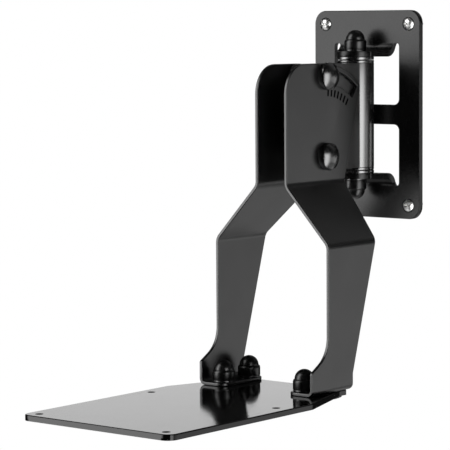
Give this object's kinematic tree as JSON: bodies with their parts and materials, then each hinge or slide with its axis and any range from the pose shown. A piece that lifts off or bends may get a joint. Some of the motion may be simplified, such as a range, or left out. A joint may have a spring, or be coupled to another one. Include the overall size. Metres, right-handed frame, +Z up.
{
  "type": "speaker wall bracket",
  "caption": "Black steel wall bracket for a studio speaker: slotted wall plate with bent tabs, upright swivel tube, two arched arms with a tilt slot, and a flat shelf",
  "frame": {"origin": "centre of the four wall screws, on the back face of the wall plate, which lies against the wall", "axes": "+X to the right as one faces the wall, +Y into the wall, +Z up; the shelf reaches out to -Y"},
  "size_m": [0.162, 0.3995, 0.3406],
  "materials": {
    "powder_coat": "satin black powder coat",
    "black_steel": "black coated steel",
    "plastic": "black moulded plastic",
    "zinc": "zinc plated",
    "screw": "bright zinc plated"
  },
  "bodies": {
    "wall": {"wall_plate": "powder_coat", "wall_screw_1": "screw", "wall_screw_2": "screw", "wall_screw_3": "screw", "wall_screw_4": "screw", "swivel_bolt": "zinc", "upper_washer": "black_steel", "upper_thrust_ring": "black_steel", "upper_nut": "zinc", "upper_cap": "plastic", "lower_washer": "black_steel", "lower_thrust_ring": "black_steel", "lower_nut": "zinc", "lower_cap": "plastic"},
    "swivel": {"swivel_tube": "powder_coat", "upper_bush": "plastic", "lower_bush": "plastic", "right_cheek": "powder_coat", "left_cheek": "powder_coat", "pivot_bolt": "black_steel", "pivot_sleeve": "zinc", "pivot_right_spacer": "plastic", "pivot_left_spacer": "plastic", "pivot_washer": "black_steel", "pivot_nut": "zinc", "pivot_cap": "plastic", "lock_bolt": "black_steel", "lock_sleeve": "zinc", "lock_right_spacer": "plastic", "lock_left_spacer": "plastic", "lock_washer": "black_steel", "lock_nut": "zinc", "lock_cap": "plastic"},
    "arms": {"right_arm": "powder_coat", "left_arm": "powder_coat", "shelf": "powder_coat", "foot_bolt_left_front": "black_steel", "foot_bolt_left_rear": "black_steel", "foot_bolt_right_front": "black_steel", "foot_bolt_right_rear": "black_steel", "foot_washer_left_front": "black_steel", "foot_washer_left_rear": "black_steel", "foot_washer_right_front": "black_steel", "foot_washer_right_rear": "black_steel", "foot_nut_left_front": "zinc", "foot_nut_left_rear": "zinc", "foot_nut_right_front": "zinc", "foot_nut_right_rear": "zinc", "foot_cap_left_front": "plastic", "foot_cap_left_rear": "plastic", "foot_cap_right_front": "plastic", "foot_cap_right_rear": "plastic"}
  },
  "joints": [
    {"name": "swivel", "type": "hinge", "parent": "wall", "child": "swivel", "pos_m": [0, -0.0224, 0], "axis": [0, 0, 1], "range_deg": [-35, 35]},
    {"name": "tilt", "type": "hinge", "parent": "swivel", "child": "arms", "pos_m": [0, -0.0907, -0.0346], "axis": [1, 0, 0], "range_deg": [0, 30]}
  ]
}
